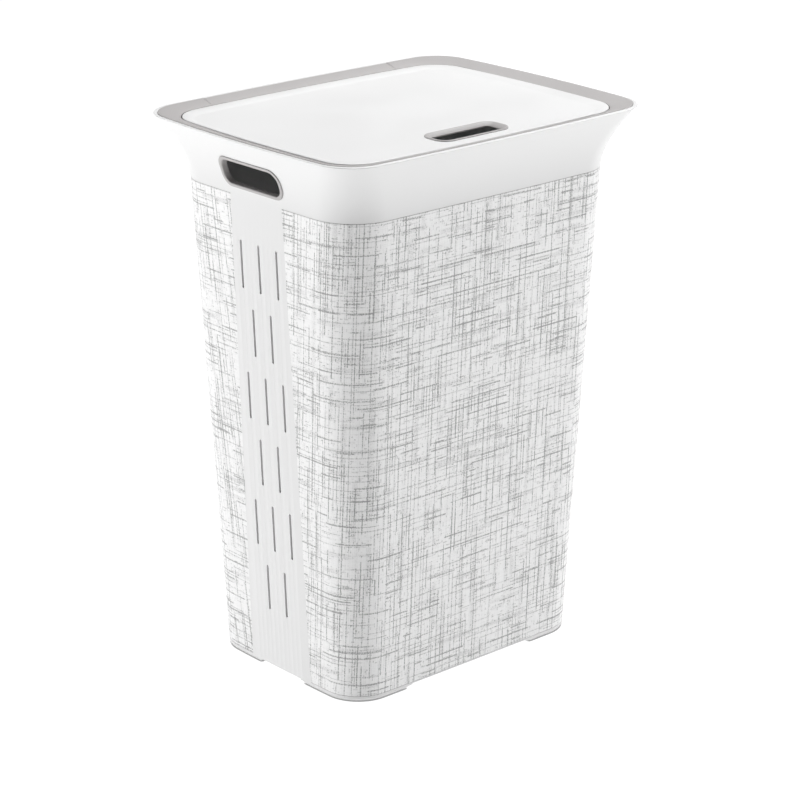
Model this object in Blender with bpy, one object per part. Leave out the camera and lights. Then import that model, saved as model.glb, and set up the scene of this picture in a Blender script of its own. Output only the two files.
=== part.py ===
"""Laundry hamper with a hinged lid.

Frame: metres, +Z up, origin on the floor under the middle of the basket.
+X is the long side, -Y the front, and the lid turns on pins at the back (+Y).
Every outline is a rounded rectangle whose four sides bow outwards a little.
"""
import math

import bmesh
import bpy
from mathutils import Vector

MM = 0.001

# Overall size
HEIGHT = 609.6 * MM
WIDTH = 442.0 * MM
DEPTH = 350.5 * MM

# Basket wall: half width, half depth, corner radius, bow of the short sides, bow of the long sides
BASE = (168.9 * MM, 122.4 * MM, 41.5 * MM, 2.0 * MM, 1.1 * MM)
COLLAR_Z = 541.3 * MM
COLLAR = (193.3 * MM, 146.7 * MM, 50.5 * MM, 2.0 * MM, 1.1 * MM)
FLARE_POWER = 1.8
LIP_Z = 607.8 * MM
LIP_TOP = 608.8 * MM
LIP_ROUND = 0.8 * MM
RIM_SHELF_Z = 606.0 * MM
RIM_SHELF = 1.8 * MM
LIP = (WIDTH / 2, DEPTH / 2, 39.0 * MM, 8.1 * MM, 5.0 * MM)
WALL = 2.5 * MM
FLOOR_TOP = 7.7 * MM
GAP = 0.3 * MM

# Feet: the underside is raised between the four corners
ARCH_Z = 4.7 * MM
ARCH_X = (97.0 * MM, 84.0 * MM)
ARCH_Y = (40.0 * MM, 32.0 * MM)
FOOT_BEVEL = 2.2 * MM
FOOT_BEVEL_Z = 3.5 * MM

# In-mould print film and the plain strip that it leaves on each short side
FILM_Z = (6.8 * MM, 541.0 * MM)
FILM = 0.4 * MM
FILM_SEAT = FILM + GAP
FILM_STEP = 0.3 * MM
STRIP_HALF = (50.4 * MM, 42.0 * MM)

# Vent slots: rows of three and two, from the top down
SLOT_WIDTH = 3.2 * MM
SLOT_LENGTH = 53.2 * MM
SLOT_PITCH_Z = 73.5 * MM
SLOT_TOP_ROW_Z = 466.5 * MM
SLOT_ROWS = 6
SLOT_PITCH_Y = 29.2 * MM

# Side handles: half length, half height and corner radius of each outline
HANDLE_Z = 566.5 * MM
HANDLE_FLANGE = (49.6 * MM, 17.0 * MM, 13.8 * MM)
HANDLE_SLEEVE = (46.6 * MM, 14.9 * MM, 11.5 * MM)
HANDLE_INNER = (45.2 * MM, 13.2 * MM, 10.6 * MM)
FLANGE_PROUD = 1.4 * MM
SLEEVE_DEPTH = 6.0 * MM

# Grey rim frame: inner and outer edge of its sloping face. The inner edge rises towards the hinges.
RIM_OUTER = (217.6 * MM, 169.9 * MM, 35.7 * MM, 8.1 * MM, 5.0 * MM)
RIM_INNER = (198.8 * MM, 152.8 * MM, 36.5 * MM, 6.3 * MM, 5.3 * MM)
RIM_INNER_Z = (604.0 * MM, 604.9 * MM)
RIM_RISE_Y = (20.0 * MM, 132.0 * MM)
RIM_SKIN = 2.1 * MM
RIM_SKIRT = 0.13
LEDGE_T = -0.26
LEDGE_Z = (598.0 * MM, 600.2 * MM)
BACK_LEDGE_T = -0.60
BACK_LEDGE_Z = (594.4 * MM, 596.2 * MM)
BACK_ZONE_Y = 132.0 * MM

# Hinge strip: the length of the rim between two seams at the back, which turns with the lid
STRIP_END = 131.0 * MM
STRIP_OUTER_T = 0.955
STRIP_TOP_T = 0.93
STRIP_TONGUE_T = -1.6
STRIP_TONGUE_Z = (598.0 * MM, 599.6 * MM)
STUD_X = (-100.0 * MM, -40.0 * MM, 40.0 * MM, 100.0 * MM)
STUD_Y = 131.0 * MM
STUD_RADIUS = 2.0 * MM
UPSTAND_T = (0.42, 0.50)
UPSTAND_Z = 602.6 * MM

# Lid
LID = (197.6 * MM, 151.6 * MM, 35.3 * MM, 6.3 * MM, 5.3 * MM)
LID_EDGE_Z = 604.9 * MM
LID_PANEL_Z = 602.1 * MM
LID_SKIRT_Z = 600.5 * MM
LID_BORDER = 13.0 * MM
LID_SKIN = 2.2 * MM
LID_SKIRT = 1.8 * MM
LID_NOSE = 1.2 * MM
LID_RIB_Z = 597.2 * MM
LID_RIB = 1.8 * MM
LID_RIB_X = (-110.0 * MM, -62.0 * MM, 62.0 * MM, 110.0 * MM)

# Lid handle
LID_HANDLE_Y = -109.2 * MM
LID_HANDLE_FLANGE = (49.2 * MM, 19.7 * MM, 14.5 * MM)
LID_HANDLE_SLEEVE = (44.6 * MM, 15.8 * MM, 9.6 * MM)
LID_HANDLE_INNER = (41.6 * MM, 12.9 * MM, 6.5 * MM)
LID_HANDLE_TOP = 603.6 * MM
LID_HANDLE_BOTTOM = 598.9 * MM

# Hinges: a pin crosses each seam, near the rim's outer edge
HINGE_Y = 163.6 * MM
HINGE_Z = 606.1 * MM
PIN_RADIUS = 1.0 * MM
PIN_HALF = 10.0 * MM
BORE_RADIUS = PIN_RADIUS + GAP
BORE_HALF = PIN_HALF + 2 * GAP
BARREL_RADIUS = 2.0 * MM
BARREL_LENGTH = 13.0 * MM

# Recess under the lip behind the strip: distance in from the rim's seat, height
RECESS = (
    (5.0 * MM, 599.7 * MM),
    (2.2 * MM, 601.2 * MM),
    (1.0 * MM, 602.4 * MM),
    (0.0 * MM, 604.2 * MM),
    (0.0 * MM, 609.8 * MM),
)

CORNER_STEPS = 8
LONG_MARKS = (0.0, 45.0 * MM, 85.0 * MM, 120.0 * MM)
SHORT_MARKS = (0.0, 42.0 * MM, 75.0 * MM)
WALL_MARK = 75.0 * MM


def lerp(a, b, t):
    return a + (b - a) * t


def mix_shape(a, b, t):
    return tuple(lerp(p, q, t) for p, q in zip(a, b))


def grow(shape, margin):
    """Offset an outline's sides and corners outwards."""
    half_w, half_d, radius, bow_x, bow_y = shape
    return (half_w + margin, half_d + margin, radius + margin, bow_x, bow_y)


def outline(shape, x_marks=(), y_marks=()):
    """Points of a bowed rounded rectangle, counter-clockwise from the +X side's back end.

    x_marks and y_marks are the positive positions of the extra points on the
    long and the short sides, which both ends of a side repeat.
    """
    half_w, half_d, radius, bow_x, bow_y = shape
    flat_w = half_w - bow_x
    flat_d = half_d - bow_y
    points = []
    for sign_x, sign_y, start in ((1, 1, 0), (-1, 1, 90), (-1, -1, 180), (1, -1, 270)):
        centre_x = sign_x * (flat_w - radius)
        centre_y = sign_y * (flat_d - radius)
        for step in range(CORNER_STEPS + 1):
            angle = math.radians(start + 90 * step / CORNER_STEPS)
            points.append((centre_x + radius * math.cos(angle), centre_y + radius * math.sin(angle)))
        marks = x_marks if sign_x == sign_y else y_marks
        for mark in sorted({m for v in marks for m in (v, -v)}, reverse=True):
            if sign_x == sign_y:
                points.append((sign_x * mark, sign_y * flat_d))
            else:
                points.append((sign_x * flat_w, -sign_x * mark))
    bowed = []
    for x, y in points:
        reach_x = min(1.0, abs(x) / flat_w)
        reach_y = min(1.0, abs(y) / flat_d)
        bowed.append((x + x * bow_x / flat_w * (1 - reach_y**2), y + y * bow_y / flat_d * (1 - reach_x**2)))
    return bowed


def flare(z):
    """How far the collar has swung out at a height, from 0 at its foot to 1 at the lip."""
    height = max(0.0, (z - COLLAR_Z) / (LIP_Z - COLLAR_Z))
    return height**FLARE_POWER


def straight_shape(z):
    """The outline that the wall would have at a height if it kept its taper."""
    taper = z / COLLAR_Z
    sides = mix_shape(BASE[:2], COLLAR[:2], taper)
    corners = mix_shape(BASE[2:], COLLAR[2:], min(1.0, taper))
    return sides + corners


def wall_shape(z):
    """The basket's outer outline at a height."""
    straight = straight_shape(z)
    top = straight_shape(LIP_Z)
    return tuple(s + (lip - t) * flare(z) for s, t, lip in zip(straight, top, LIP))


def strip_half(z):
    return lerp(STRIP_HALF[0], STRIP_HALF[1], min(1.0, z / COLLAR_Z))


def wall_marks(z):
    half = strip_half(z)
    return (0.0, half / 2, half, half + FILM_STEP, WALL_MARK)


def material(name, colour, roughness):
    mat = bpy.data.materials.new(name)
    mat.use_nodes = True
    shader = mat.node_tree.nodes["Principled BSDF"]
    shader.inputs["Base Color"].default_value = (*colour, 1.0)
    shader.inputs["Roughness"].default_value = roughness
    shader.inputs["Metallic"].default_value = 0.0
    return mat


def add_mesh(name, verts, faces, mat=None, pivot=(0, 0, 0)):
    """Make an object from world-space points, with its origin on the pivot."""
    mesh = bpy.data.meshes.new(name)
    origin = Vector(pivot)
    mesh.from_pydata([Vector(v) - origin for v in verts], [], faces)
    tidy = bmesh.new()
    tidy.from_mesh(mesh)
    bmesh.ops.recalc_face_normals(tidy, faces=tidy.faces)
    tidy.to_mesh(mesh)
    tidy.free()
    obj = bpy.data.objects.new(name, mesh)
    obj.location = origin
    bpy.context.scene.collection.objects.link(obj)
    if mat:
        mesh.materials.append(mat)
    mesh.shade_smooth()
    mesh.set_sharp_from_angle(angle=math.radians(30))
    return obj


def loft(rows, capped=True, wrap=False):
    """Skin equal closed loops of points: capped makes a body, wrap makes a ring."""
    count = len(rows[0])
    verts = [point for row in rows for point in row]
    faces = []
    for r in range(len(rows) if wrap else len(rows) - 1):
        low = r * count
        high = ((r + 1) % len(rows)) * count
        for i in range(count):
            j = (i + 1) % count
            faces.append((low + i, low + j, high + j, high + i))
    if capped and not wrap:
        faces.append(tuple(range(count))[::-1])
        faces.append(tuple(range((len(rows) - 1) * count, len(rows) * count)))
    return verts, faces


def level(points, z):
    return [(x, y, z) for x, y in points]


def cutter(name, verts, faces):
    obj = add_mesh(name, verts, faces)
    obj.hide_render = True
    obj.display_type = "WIRE"
    return obj


def boolean(obj, tool, operation):
    modifier = obj.modifiers.new(tool.name, "BOOLEAN")
    modifier.operation = operation
    modifier.object = tool
    modifier.solver = "EXACT"


def prism(profile, axis, low, high):
    """Extrude a closed profile between two places along an axis."""
    rows = []
    for place in (low, high):
        row = []
        for u, v in profile:
            point = [u, v]
            point.insert(axis, place)
            row.append(tuple(point))
        rows.append(row)
    return loft(rows)


def merged(parts):
    """Put several bodies' points and faces into one mesh."""
    verts = []
    faces = []
    for part_verts, part_faces in parts:
        start = len(verts)
        verts.extend(part_verts)
        faces.extend(tuple(start + i for i in face) for face in part_faces)
    return verts, faces


def box(x, y, z):
    profile = ((x[0], y[0]), (x[1], y[0]), (x[1], y[1]), (x[0], y[1]))
    return prism(profile, 2, z[0], z[1])


def rounded_rect(half_long, half_short, radius, steps=6):
    """A plain rounded rectangle around the origin."""
    points = []
    for sign_u, sign_v, start in ((1, 1, 0), (-1, 1, 90), (-1, -1, 180), (1, -1, 270)):
        for step in range(steps + 1):
            angle = math.radians(start + 90 * step / steps)
            u = sign_u * (half_long - radius) + radius * math.cos(angle)
            v = sign_v * (half_short - radius) + radius * math.sin(angle)
            points.append((u, v))
    return points


def shell_rows():
    """Outer skin from the floor up, over the lip, and the inner skin down to the floor."""
    rows = []

    def outer(z, margin=0.0):
        return outline(grow(wall_shape(z), margin), LONG_MARKS, wall_marks(z))

    rows.append(level(outer(0.0, -FOOT_BEVEL), 0.0))
    rows.append(level(outer(FOOT_BEVEL_Z), FOOT_BEVEL_Z))
    rows.append(level(outer(FILM_Z[0] - FILM_STEP), FILM_Z[0] - FILM_STEP))
    for z in FILM_Z:
        plain = outer(z)
        seat = outer(z, -FILM_SEAT)
        edge = strip_half(z) + FILM_STEP / 2
        row = [p if abs(p[1]) < edge else s for p, s in zip(plain, seat)]
        rows.append(level(row, z))
    collar_foot = FILM_Z[1] + FILM_STEP
    for step in range(9):
        z = lerp(collar_foot, LIP_Z, step / 8)
        rows.append(level(outer(z), z))
    marks = wall_marks(LIP_Z)
    seat = grow(RIM_OUTER, GAP)
    rows.append(level(outline(grow(LIP, -LIP_ROUND), LONG_MARKS, marks), LIP_TOP))
    rows.append(level(outline(seat, LONG_MARKS, marks), LIP_TOP))
    rows.append(level(outline(seat, LONG_MARKS, marks), RIM_SHELF_Z + LIP_ROUND))
    rows.append(level(outline(grow(seat, -RIM_SHELF), LONG_MARKS, marks), RIM_SHELF_Z + LIP_ROUND))
    for step in range(8):
        z = lerp(RIM_SHELF_Z - RIM_SHELF, COLLAR_Z - 12 * MM, step / 7)
        rows.append(level(outer(z, -WALL * (1 + 0.35 * flare(z))), z))
    bottom = FLOOR_TOP + 6.0 * MM
    rows.append(level(outer(bottom, -WALL - FILM_SEAT / 2), bottom))
    rows.append(level(outer(FLOOR_TOP, -WALL - 6.0 * MM), FLOOR_TOP))
    return rows


def arch_profile(foot, top):
    """The hollow between two feet: wide on the floor, narrower at its flat top."""
    return ((-foot, -MM), (foot, -MM), (foot, 0), (top, ARCH_Z), (-top, ARCH_Z), (-foot, 0))


def make_shell(mat):
    shell = add_mesh("basket_shell", *loft(shell_rows()), mat)
    arch_long = prism(arch_profile(*ARCH_X), 1, -DEPTH, DEPTH)
    arch_short = prism(arch_profile(*ARCH_Y), 0, -WIDTH, WIDTH)
    boolean(shell, cutter("arch_under_long_sides", *arch_long), "DIFFERENCE")
    boolean(shell, cutter("arch_under_short_sides", *arch_short), "DIFFERENCE")
    boolean(shell, cutter("vent_slots", *merged(slot_boxes())), "DIFFERENCE")
    hole = rounded_rect(*(v + GAP for v in HANDLE_SLEEVE))
    hole = [(y, z + HANDLE_Z) for y, z in hole]
    boolean(shell, cutter("handle_openings", *prism(hole, 0, -WIDTH, WIDTH)), "DIFFERENCE")
    boolean(shell, cutter("hinge_recess", *hinge_recess()), "DIFFERENCE")
    return shell


def hinge_recess():
    """Room under the lip for the strip's outer edge, which swings down as the lid opens."""
    half = STRIP_END + BARREL_LENGTH + 2 * MM
    seat = outline(grow(RIM_OUTER, GAP), LONG_MARKS + (half,))
    back = sorted((p for p in seat if p[1] > BACK_ZONE_Y and abs(p[0]) < half + GAP), key=lambda p: p[0])
    rows = []
    for inset, z in RECESS:
        loop = [(x, y - inset) for x, y in back] + [(half, BACK_ZONE_Y), (-half, BACK_ZONE_Y)]
        rows.append(level(loop, z))
    return loft(rows)


def slot_boxes():
    """Each box goes through both short sides."""
    boxes = []
    for row in range(SLOT_ROWS):
        centre_z = SLOT_TOP_ROW_Z - row * SLOT_PITCH_Z
        columns = (-1, 0, 1) if row % 2 == 0 else (-0.5, 0.5)
        for column in columns:
            y = column * SLOT_PITCH_Y
            boxes.append(box(
                (-WIDTH, WIDTH),
                (y - SLOT_WIDTH / 2, y + SLOT_WIDTH / 2),
                (centre_z - SLOT_LENGTH / 2, centre_z + SLOT_LENGTH / 2),
            ))
    return boxes


def make_film(name, side, mat):
    """A thin skin in the wall's seat, around one long side from strip to strip."""
    rows = []
    for z in (FILM_Z[0] + GAP, FILM_Z[1] - GAP):
        edge = strip_half(z) + FILM_STEP + GAP
        marks = (edge, WALL_MARK)
        faces = []
        for margin in (0.0, -FILM):
            loop = outline(grow(wall_shape(z), margin), LONG_MARKS, marks)
            kept = [p for p in loop if p[1] * side > edge - 0.01 * MM]
            kept.sort(key=lambda p: math.atan2(p[0], p[1] * side))
            faces.append(kept)
        rows.append(level(faces[0] + faces[1][::-1], z))
    verts, faces = loft(rows, capped=False)
    count = len(rows[0])
    for start in (0, count):
        for i in range(count // 2 - 1):
            faces.append((start + i, start + i + 1, start + count - 2 - i, start + count - 1 - i))
    return add_mesh(name, verts, faces, mat)


def rim_face_z(t, y):
    """Height of the rim's face at a share of its width, where its inner edge is at a given y."""
    start, end = RIM_RISE_Y
    rise = min(1.0, max(0.0, (y - start) / (end - start)))
    return lerp(lerp(*RIM_INNER_Z, rise), HEIGHT, t)


def rim_pairs():
    """Matching points on the inner and the outer edge of the rim's face."""
    marks = LONG_MARKS + (STRIP_END, STRIP_END + GAP)
    inner = outline(RIM_INNER, marks, SHORT_MARKS)
    outer = outline(RIM_OUTER, marks, SHORT_MARKS)
    return list(zip(inner, outer))


def across(pair, section):
    """Place a section, given as (share of the face's width, height), between two edges."""
    (x0, y0), (x1, y1) = pair
    return [(lerp(x0, x1, t), lerp(y0, y1, t), z) for t, z in section]


def rim_section(pair):
    """The rim's cross-section: a sloping face, a skirt and a ledge, or the low channel under the strip."""
    x, y = pair[0]
    back = y > BACK_ZONE_Y
    ledge_t = BACK_LEDGE_T if back else LEDGE_T
    ledge = BACK_LEDGE_Z if back else LEDGE_Z
    if back and abs(x) < STRIP_END + GAP / 2:
        inside, outside = UPSTAND_T
        return [
            (inside, UPSTAND_Z),
            (outside, UPSTAND_Z),
            (outside, lerp(UPSTAND_Z, ledge[0], 0.3)),
            (outside, lerp(UPSTAND_Z, ledge[0], 0.7)),
            (outside, ledge[0]),
            (ledge_t, ledge[0]),
            (ledge_t, ledge[1]),
            (inside, ledge[1]),
        ]
    return [
        (0.0, rim_face_z(0.0, y)),
        (1.0, HEIGHT),
        (1.0, HEIGHT - RIM_SKIN),
        (RIM_SKIRT, rim_face_z(RIM_SKIRT, y) - RIM_SKIN),
        (RIM_SKIRT, ledge[0]),
        (ledge_t, ledge[0]),
        (ledge_t, ledge[1]),
        (0.0, ledge[1]),
    ]


def strip_section(y):
    return [
        (0.0, rim_face_z(0.0, y)),
        (STRIP_TOP_T, rim_face_z(STRIP_TOP_T, y)),
        (STRIP_OUTER_T, rim_face_z(STRIP_OUTER_T, y) - 0.7 * MM),
        (STRIP_OUTER_T, rim_face_z(STRIP_OUTER_T, y) - RIM_SKIN),
        (RIM_SKIRT, rim_face_z(RIM_SKIRT, y) - RIM_SKIN),
        (RIM_SKIRT, STRIP_TONGUE_Z[0]),
        (STRIP_TONGUE_T, STRIP_TONGUE_Z[0]),
        (STRIP_TONGUE_T, STRIP_TONGUE_Z[1]),
        (0.0, STRIP_TONGUE_Z[1]),
    ]


def turn(steps):
    return [2 * math.pi * i / steps for i in range(steps)]


def hinge_rods(radius, low, high, steps=16):
    """A rod on the hinge axis on each side, between two distances from the middle."""
    circle = [(HINGE_Y + radius * math.cos(a), HINGE_Z + radius * math.sin(a)) for a in turn(steps)]
    return merged([prism(circle, 0, *sorted((side * low, side * high))) for side in (-1, 1)])


def studs(radius, low, high):
    circle = [(radius * math.cos(a), radius * math.sin(a)) for a in turn(12)]
    return merged([prism([(x + u, STUD_Y + v) for u, v in circle], 2, low, high) for x in STUD_X])


def make_rim(mat):
    rows = [across(pair, rim_section(pair)) for pair in rim_pairs()]
    rim = add_mesh("rim_frame", *loft(rows, wrap=True), mat)
    start = STRIP_END + GAP
    barrels = hinge_rods(BARREL_RADIUS, start, start + BARREL_LENGTH)
    bores = hinge_rods(BORE_RADIUS, STRIP_END - MM, STRIP_END + BORE_HALF)
    boolean(rim, cutter("rim_barrels", *barrels), "UNION")
    boolean(rim, cutter("rim_bores", *bores), "DIFFERENCE")
    return rim


def make_hinge_strip(mat):
    end = STRIP_END - GAP
    marks = LONG_MARKS + (end,)
    inner = outline(RIM_INNER, marks)
    outer = outline(RIM_OUTER, marks)
    limit = end + 0.01 * MM
    pairs = [p for p in zip(inner, outer) if p[0][1] > BACK_ZONE_Y and abs(p[0][0]) < limit]
    pairs.sort(key=lambda p: -p[0][0])
    rows = [across(pair, strip_section(pair[0][1])) for pair in pairs]
    strip = add_mesh("hinge_strip", *loft(rows), mat, pivot=(0, HINGE_Y, HINGE_Z))
    barrels = hinge_rods(BARREL_RADIUS, end - BARREL_LENGTH, end)
    bores = hinge_rods(BORE_RADIUS, STRIP_END - BORE_HALF, STRIP_END + MM)
    holes = studs(STUD_RADIUS + GAP, STRIP_TONGUE_Z[0] - MM, STRIP_TONGUE_Z[1] + MM)
    boolean(strip, cutter("strip_barrels", *barrels), "UNION")
    boolean(strip, cutter("strip_bores", *bores), "DIFFERENCE")
    boolean(strip, cutter("stud_holes", *holes), "DIFFERENCE")
    return strip


def lid_rows():
    """From the dished panel up to the edge, down the skirt and back under the panel."""
    def ring(inset, z):
        return level(outline(grow(LID, -inset), LONG_MARKS, SHORT_MARKS), z)

    return [
        ring(LID_BORDER, LID_PANEL_Z),
        ring(2 * LID_NOSE, LID_EDGE_Z - 0.3 * MM),
        ring(LID_NOSE, LID_EDGE_Z),
        ring(0.3 * MM, LID_EDGE_Z - 0.5 * MM),
        ring(0.0, LID_EDGE_Z - LID_NOSE),
        ring(0.0, LID_SKIRT_Z),
        ring(LID_SKIRT, LID_SKIRT_Z),
        ring(LID_SKIRT, LID_EDGE_Z - LID_SKIN - 0.4 * MM),
        ring(LID_BORDER, LID_PANEL_Z - LID_SKIN),
    ]


def lid_ribs():
    ribs = []
    half_d = LID[1] - LID_BORDER - 20 * MM
    for x in LID_RIB_X:
        rib_x = (x - LID_RIB / 2, x + LID_RIB / 2)
        ribs.append(box(rib_x, (-half_d, half_d), (LID_RIB_Z, LID_PANEL_Z - MM)))
    return ribs


def make_lid(mat):
    lid = add_mesh("lid_panel", *loft(lid_rows()), mat, pivot=(0, HINGE_Y, HINGE_Z))
    hole = rounded_rect(*(v + GAP for v in LID_HANDLE_SLEEVE))
    hole = [(x, y + LID_HANDLE_Y) for x, y in hole]
    boolean(lid, cutter("lid_ribs", *merged(lid_ribs())), "UNION")
    boolean(lid, cutter("lid_studs", *studs(STUD_RADIUS, LID_RIB_Z, LID_PANEL_Z - MM)), "UNION")
    boolean(lid, cutter("lid_handle_hole", *prism(hole, 2, LID_RIB_Z - MM, HEIGHT)), "DIFFERENCE")
    return lid


def make_lid_handle(mat):
    def ring(shape, z, margin=0.0):
        points = rounded_rect(*(v + margin for v in shape))
        return [(x, y + LID_HANDLE_Y, z) for x, y in points]

    seat = LID_PANEL_Z + GAP
    rows = [
        ring(LID_HANDLE_FLANGE, seat),
        ring(LID_HANDLE_FLANGE, LID_HANDLE_TOP - 0.5 * MM),
        ring(LID_HANDLE_FLANGE, LID_HANDLE_TOP, -0.9 * MM),
        ring(LID_HANDLE_FLANGE, LID_HANDLE_TOP, -3.5 * MM),
        ring(LID_HANDLE_INNER, LID_HANDLE_TOP - 1.4 * MM, 0.6 * MM),
        ring(LID_HANDLE_INNER, LID_HANDLE_BOTTOM),
        ring(LID_HANDLE_SLEEVE, LID_HANDLE_BOTTOM),
        ring(LID_HANDLE_SLEEVE, seat),
    ]
    return add_mesh("lid_handle_bezel", *loft(rows, wrap=True), mat, pivot=(0, HINGE_Y, HINGE_Z))


def make_side_handle(name, side, mat):
    """A bezel whose flange lies on the flared collar, with a sleeve through the wall."""
    def ring(shape, proud, margin=0.0):
        row = []
        for y, z in rounded_rect(*(v + margin for v in shape)):
            half_w, half_d, _, bow_x, bow_y = wall_shape(z + HANDLE_Z)
            bow = bow_x * (y / (half_d - bow_y)) ** 2
            row.append((side * (half_w - bow + proud), y, z + HANDLE_Z))
        return row

    seat = GAP
    rows = [
        ring(HANDLE_FLANGE, seat),
        ring(HANDLE_FLANGE, FLANGE_PROUD - 0.4 * MM),
        ring(HANDLE_FLANGE, FLANGE_PROUD, -0.9 * MM),
        ring(HANDLE_INNER, FLANGE_PROUD, 1.2 * MM),
        ring(HANDLE_INNER, FLANGE_PROUD - 1.2 * MM),
        ring(HANDLE_INNER, -SLEEVE_DEPTH),
        ring(HANDLE_SLEEVE, -SLEEVE_DEPTH),
        ring(HANDLE_SLEEVE, seat),
    ]
    return add_mesh(name, *loft(rows, wrap=True), mat)


def make_pin(name, side, mat):
    circle = [(HINGE_Y + PIN_RADIUS * math.cos(a), HINGE_Z + PIN_RADIUS * math.sin(a)) for a in turn(16)]
    x = side * STRIP_END
    return add_mesh(name, *prism(circle, 0, x - PIN_HALF, x + PIN_HALF), mat, pivot=(x, HINGE_Y, HINGE_Z))


def main():
    for obj in list(bpy.data.objects):
        bpy.data.objects.remove(obj, do_unlink=True)
    white = material("white_plastic", (0.87, 0.87, 0.88), 0.35)
    grey = material("grey_plastic", (0.52, 0.50, 0.50), 0.45)
    linen = material("linen_print", (0.72, 0.72, 0.72), 0.55)
    steel = material("pin_steel", (0.60, 0.60, 0.61), 0.30)
    make_shell(white)
    make_film("print_film_front", -1, linen)
    make_film("print_film_rear", 1, linen)
    make_rim(grey)
    make_hinge_strip(grey)
    make_lid(white)
    make_lid_handle(grey)
    make_side_handle("side_handle_bezel_left", -1, grey)
    make_side_handle("side_handle_bezel_right", 1, grey)
    make_pin("hinge_pin_left", -1, steel)
    make_pin("hinge_pin_right", 1, steel)


main()
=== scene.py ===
import math

import bmesh
import bpy
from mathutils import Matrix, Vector


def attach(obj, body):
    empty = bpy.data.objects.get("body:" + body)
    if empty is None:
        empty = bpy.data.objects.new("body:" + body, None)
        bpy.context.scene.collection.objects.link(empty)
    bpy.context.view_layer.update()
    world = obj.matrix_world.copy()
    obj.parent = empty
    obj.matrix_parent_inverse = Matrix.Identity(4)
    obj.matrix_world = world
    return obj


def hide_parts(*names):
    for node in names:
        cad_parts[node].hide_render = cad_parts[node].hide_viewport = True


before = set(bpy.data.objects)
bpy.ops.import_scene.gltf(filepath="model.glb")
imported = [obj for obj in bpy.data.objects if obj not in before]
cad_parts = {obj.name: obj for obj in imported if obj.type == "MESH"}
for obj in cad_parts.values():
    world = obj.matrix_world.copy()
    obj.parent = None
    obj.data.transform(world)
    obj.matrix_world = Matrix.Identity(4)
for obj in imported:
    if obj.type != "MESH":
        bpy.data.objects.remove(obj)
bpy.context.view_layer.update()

MM = 0.001

# Overall size
HEIGHT = 609.6 * MM
WIDTH = 442.0 * MM
DEPTH = 350.5 * MM

# Basket wall. An outline is its half width, half depth, corner radius, and the bow of its short and
# of its long sides. The wall swells towards the lip by a share of its thickness.
BASE = (168.9 * MM, 122.4 * MM, 41.5 * MM, 2.0 * MM, 1.1 * MM)
COLLAR_Z = 541.3 * MM
COLLAR = (193.3 * MM, 146.7 * MM, 50.5 * MM, 2.0 * MM, 1.1 * MM)
FLARE_POWER = 1.8
LIP_Z = 607.8 * MM
LIP_ROUND = 1.0 * MM
LIP = (WIDTH / 2, DEPTH / 2, 39.0 * MM, 8.1 * MM, 5.0 * MM)
RIM_SHELF_Z = 606.0 * MM
RIM_SHELF = 1.8 * MM
RIM_SHELF_LIFT = 0.8 * MM
RIM_SEAT_GAP = 0.2 * MM
RIM_SEAT_CHAMFER = 0.4 * MM
WALL = 2.5 * MM
WALL_SWELL = 0.35
FLOOR_TOP = 7.7 * MM
FLOOR_FILLET = 6.0 * MM

# Feet: the underside is raised between the four corners
ARCH_Z = 4.7 * MM
ARCH_X = (97.0 * MM, 84.0 * MM)
ARCH_Y = (40.0 * MM, 32.0 * MM)
FOOT_BEVEL = 2.2 * MM
FOOT_BEVEL_Z = 3.5 * MM

# Print film and the plain ribbed strip that it leaves on each short side
FILM_Z = (6.8 * MM, 540.8 * MM)
FILM = 0.4 * MM
FILM_SEAT = 0.6 * MM
FILM_GROOVE = 0.5 * MM
FILM_EDGE_GAP = 0.05 * MM
STRIP_HALF = (50.4 * MM, 42.0 * MM)
RIB_PITCH = 7.3 * MM
RIB_HALF = 0.7 * MM
RIB_RISE = 0.2 * MM
RIB_TOP_Z = (492.0 * MM, 498.0 * MM)
RIB_COUNT = 5

# Vent slots: rows of three and two, from the top down
SLOT_WIDTH = 3.2 * MM
SLOT_LENGTH = 53.2 * MM
SLOT_PITCH_Z = 73.5 * MM
SLOT_TOP_ROW_Z = 466.5 * MM
SLOT_ROWS = 6
SLOT_PITCH_Y = 29.2 * MM

# Side handles: half length, half height and corner radius of each outline
HANDLE_Z = 566.5 * MM
HANDLE_FLANGE = (49.6 * MM, 17.0 * MM, 13.8 * MM)
HANDLE_SLEEVE = (46.6 * MM, 14.9 * MM, 11.5 * MM)
HANDLE_INNER = (45.2 * MM, 13.2 * MM, 10.6 * MM)
FLANGE_PROUD = 1.4 * MM
SLEEVE_DEPTH = 6.0 * MM

# Grey rim frame. The inner edge of its sloping face is lower at the front: RIM_INNER_Z has its two
# heights and RIM_RISE_Y the places between which it rises. RIM_SKIRT, RIM_UNDERCUT and the names
# that end in _T are shares of the face's width.
RIM_OUTER = (217.6 * MM, 169.9 * MM, 35.7 * MM, 8.1 * MM, 5.0 * MM)
RIM_INNER = (198.8 * MM, 152.8 * MM, 36.5 * MM, 6.3 * MM, 5.3 * MM)
RIM_INNER_Z = (604.0 * MM, 604.9 * MM)
RIM_RISE_Y = (20.0 * MM, 132.0 * MM)
RIM_SKIN = 2.1 * MM
RIM_SKIRT = 0.13
RIM_UNDERCUT = 0.06
LEDGE_T = -0.26
LEDGE_Z = (598.0 * MM, 600.2 * MM)
BACK_LEDGE_T = -0.60
BACK_LEDGE_Z = (594.4 * MM, 596.2 * MM)
BACK_ZONE_Y = 132.0 * MM
RIM_BACK_MARK = 143.0 * MM

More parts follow.
